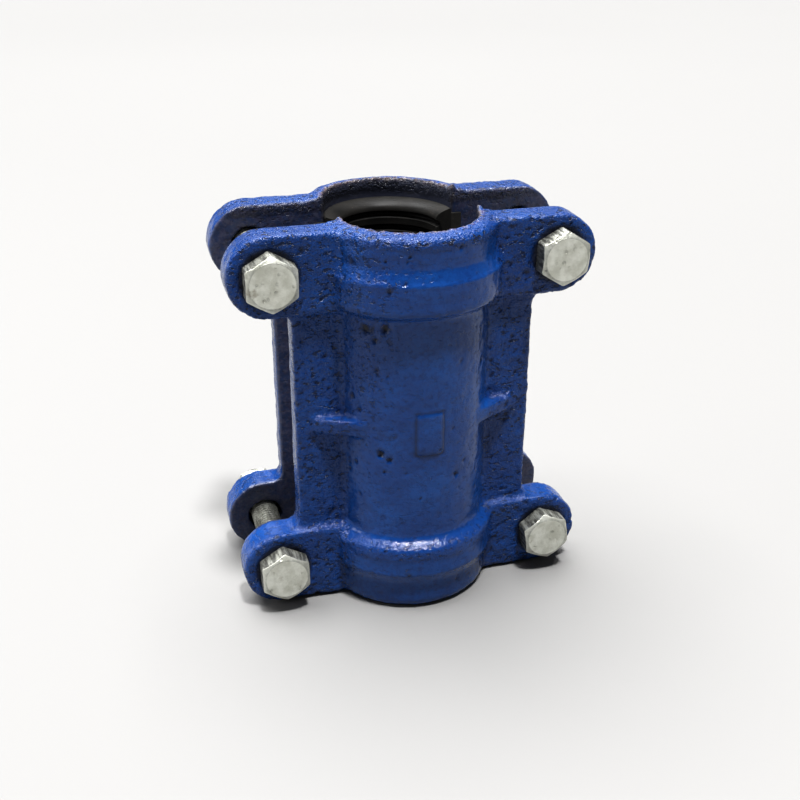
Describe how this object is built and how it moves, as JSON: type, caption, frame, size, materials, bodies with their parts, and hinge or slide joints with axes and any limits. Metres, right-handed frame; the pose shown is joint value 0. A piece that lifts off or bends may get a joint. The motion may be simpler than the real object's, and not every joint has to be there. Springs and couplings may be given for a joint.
{
  "type": "pipe repair clamp",
  "caption": "Bolted two-half repair clamp with rubber-lined iron shells that close round a leaking pipe.",
  "frame": {"origin": "on the front half's bore axis, midway between its two ends", "axes": "+Z along the pipe, -Y towards the front half and the bolt heads, +Y towards the rear half and the nuts"},
  "size_m": [0.1214, 0.0837, 0.132],
  "materials": {
    "painted_iron": "glossy blue enamel on rough sand-cast iron",
    "black_rubber": "moulded black rubber, satin",
    "zinc_steel": "bright zinc plating, slightly dulled"
  },
  "bodies": {
    "front_half": {"front_shell": "painted_iron", "front_gasket": "black_rubber"},
    "rear_half": {"rear_shell": "painted_iron", "rear_gasket": "black_rubber", "washer_upper_left": "zinc_steel", "washer_upper_right": "zinc_steel", "washer_lower_left": "zinc_steel", "washer_lower_right": "zinc_steel"},
    "bolt_upper_left": {"bolt_upper_left": "zinc_steel"},
    "nut_upper_left": {"nut_upper_left": "zinc_steel"},
    "bolt_upper_right": {"bolt_upper_right": "zinc_steel"},
    "nut_upper_right": {"nut_upper_right": "zinc_steel"},
    "bolt_lower_left": {"bolt_lower_left": "zinc_steel"},
    "nut_lower_left": {"nut_lower_left": "zinc_steel"},
    "bolt_lower_right": {"bolt_lower_right": "zinc_steel"},
    "nut_lower_right": {"nut_lower_right": "zinc_steel"}
  },
  "joints": [
    {"name": "rear_half_slide", "type": "slide", "parent": "front_half", "child": "rear_half", "axis": [0, 1, 0], "range_m": [-0.0225, 0.007]},
    {"name": "bolt_upper_left_turn", "type": "hinge", "parent": "front_half", "child": "bolt_upper_left", "pos_m": [-0.0474, 0, 0.0521], "axis": [0, 1, 0], "continuous": true},
    {"name": "bolt_upper_right_turn", "type": "hinge", "parent": "front_half", "child": "bolt_upper_right", "pos_m": [0.0474, 0, 0.0521], "axis": [0, 1, 0], "continuous": true},
    {"name": "bolt_lower_left_turn", "type": "hinge", "parent": "front_half", "child": "bolt_lower_left", "pos_m": [-0.0474, 0, -0.0521], "axis": [0, 1, 0], "continuous": true},
    {"name": "bolt_lower_right_turn", "type": "hinge", "parent": "front_half", "child": "bolt_lower_right", "pos_m": [0.0474, 0, -0.0521], "axis": [0, 1, 0], "continuous": true},
    {"name": "nut_upper_left_turn", "type": "hinge", "parent": "rear_half", "child": "nut_upper_left", "pos_m": [-0.0474, 0.035, 0.0521], "axis": [0, 1, 0], "range_deg": [-5401, 1681]},
    {"name": "nut_upper_right_turn", "type": "hinge", "parent": "rear_half", "child": "nut_upper_right", "pos_m": [0.0474, 0.035, 0.0521], "axis": [0, 1, 0], "range_deg": [-5401, 1681]},
    {"name": "nut_lower_left_turn", "type": "hinge", "parent": "rear_half", "child": "nut_lower_left", "pos_m": [-0.0474, 0.035, -0.0521], "axis": [0, 1, 0], "range_deg": [-5401, 1681]},
    {"name": "nut_lower_right_turn", "type": "hinge", "parent": "rear_half", "child": "nut_lower_right", "pos_m": [0.0474, 0.035, -0.0521], "axis": [0, 1, 0], "range_deg": [-5401, 1681]}
  ],
  "couplings": [
    {"joint": "nut_upper_left_turn", "follows": "rear_half_slide", "rad_per_m": 4188.8},
    {"joint": "nut_upper_right_turn", "follows": "rear_half_slide", "rad_per_m": 4188.8},
    {"joint": "nut_lower_left_turn", "follows": "rear_half_slide", "rad_per_m": 4188.8},
    {"joint": "nut_lower_right_turn", "follows": "rear_half_slide", "rad_per_m": 4188.8}
  ]
}
